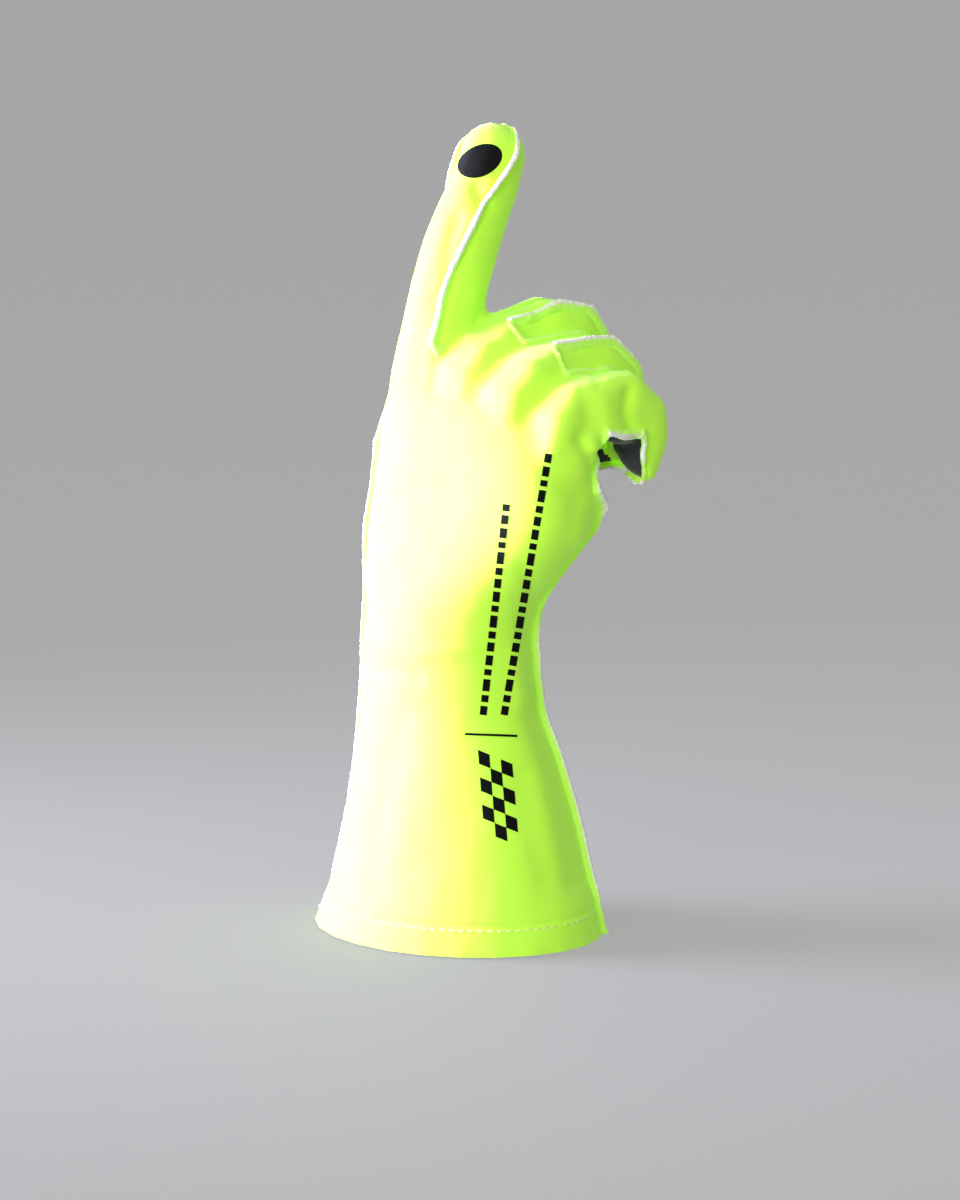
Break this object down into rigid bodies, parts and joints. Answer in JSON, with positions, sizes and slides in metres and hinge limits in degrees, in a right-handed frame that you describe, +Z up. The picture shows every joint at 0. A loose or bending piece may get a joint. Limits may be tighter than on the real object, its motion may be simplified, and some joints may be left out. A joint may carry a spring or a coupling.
{
  "type": "karting glove",
  "caption": "Right-hand karting glove with a long flared cuff and outside seams, held in the form of a hand pointing up.",
  "frame": {"origin": "middle of the cuff's opening at the hem", "axes": "+Z up the forearm to the fingers, -Y the back of the hand, +X the little finger's side"},
  "size_m": [0.1135, 0.1108, 0.28],
  "materials": {
    "fluorescent_fabric": "fine knit laminated on foam, matt",
    "black_suede": "short-nap suede, matt",
    "raw_edge": "cut edge of foam and knit, matt"
  },
  "bodies": {
    "root": {"back_panel": "fluorescent_fabric", "palm_panel": "black_suede", "little_tip_patch": "black_suede", "cuff_front": "fluorescent_fabric", "thumb_back": "fluorescent_fabric", "gusset_index_middle": "fluorescent_fabric", "gusset_middle_ring": "fluorescent_fabric", "gusset_ring_little": "fluorescent_fabric", "hem_back": "fluorescent_fabric", "hem_front": "fluorescent_fabric", "seam_thumb_side": "raw_edge", "seam_little_side": "raw_edge", "seam_index_middle": "raw_edge", "palm_seam_index_middle": "raw_edge", "seam_middle_ring": "raw_edge", "palm_seam_middle_ring": "raw_edge", "seam_ring_little": "raw_edge", "palm_seam_ring_little": "raw_edge", "seam_wrist": "raw_edge", "seam_thumb": "raw_edge"}
  },
  "joints": []
}
